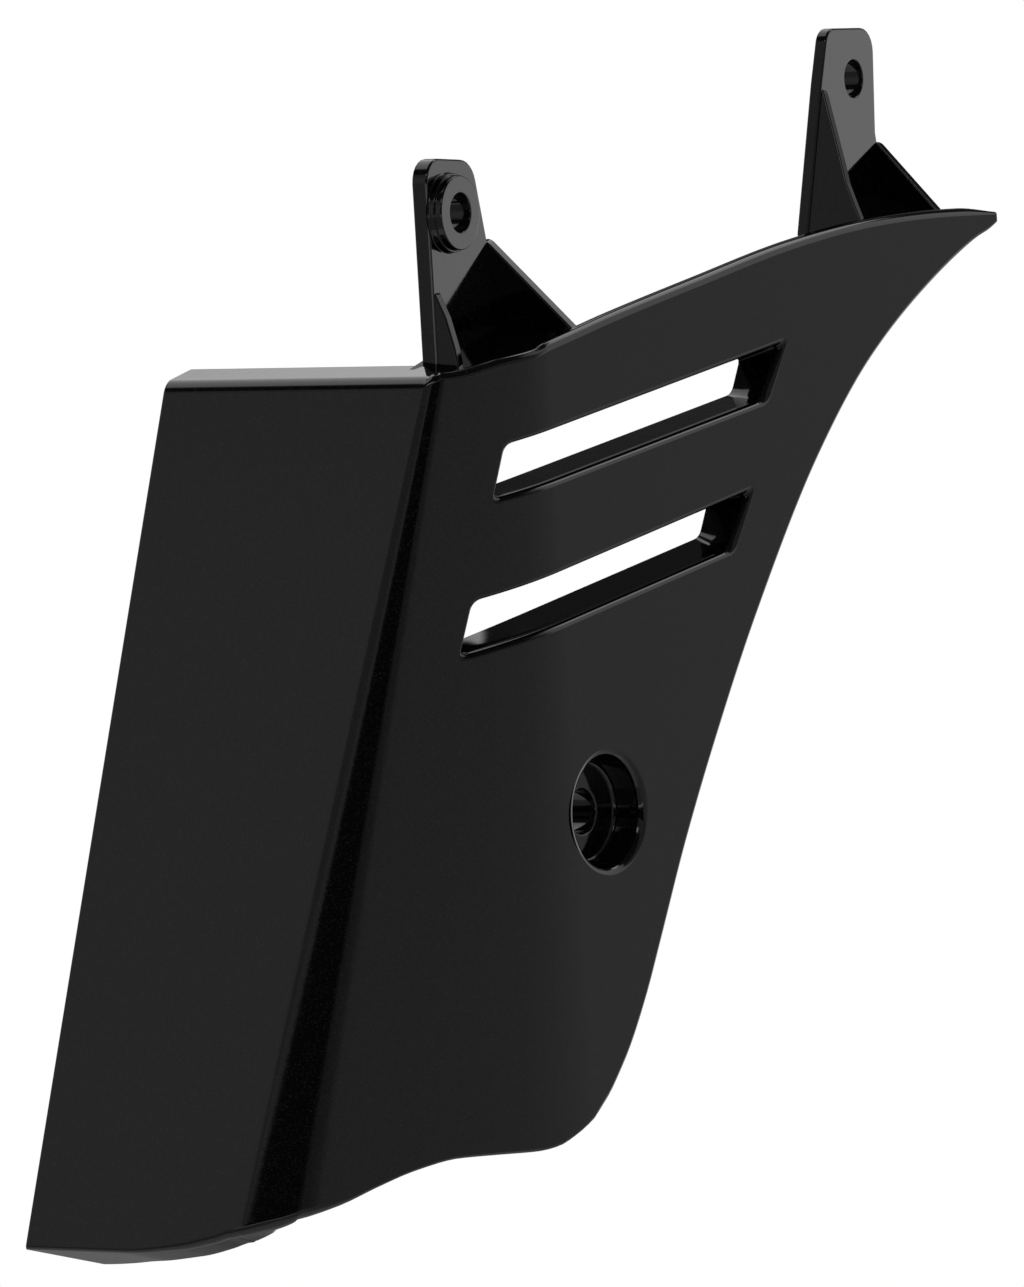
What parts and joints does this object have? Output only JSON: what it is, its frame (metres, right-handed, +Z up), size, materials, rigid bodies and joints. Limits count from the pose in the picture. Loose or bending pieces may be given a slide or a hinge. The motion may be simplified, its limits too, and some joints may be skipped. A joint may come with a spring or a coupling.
{
  "type": "fork cover",
  "caption": "Left-hand moulded cover for a motorcycle front fork: leaning front panel, conical corner, swept side panel with ducted slots, screw seat and bolt tabs.",
  "frame": {"origin": "on the axis of the front tab's bolt hole, at the outer face of the tab's plate", "axes": "+X outward to the vehicle's left along both bolt holes, +Y to the rear, +Z up as the cover stands in the picture"},
  "size_m": [0.0965, 0.1887, 0.2283],
  "materials": {
    "gloss_black": "high-gloss black with a very fine dark flake"
  },
  "bodies": {
    "root": {"fork_cover": "gloss_black"}
  },
  "joints": []
}
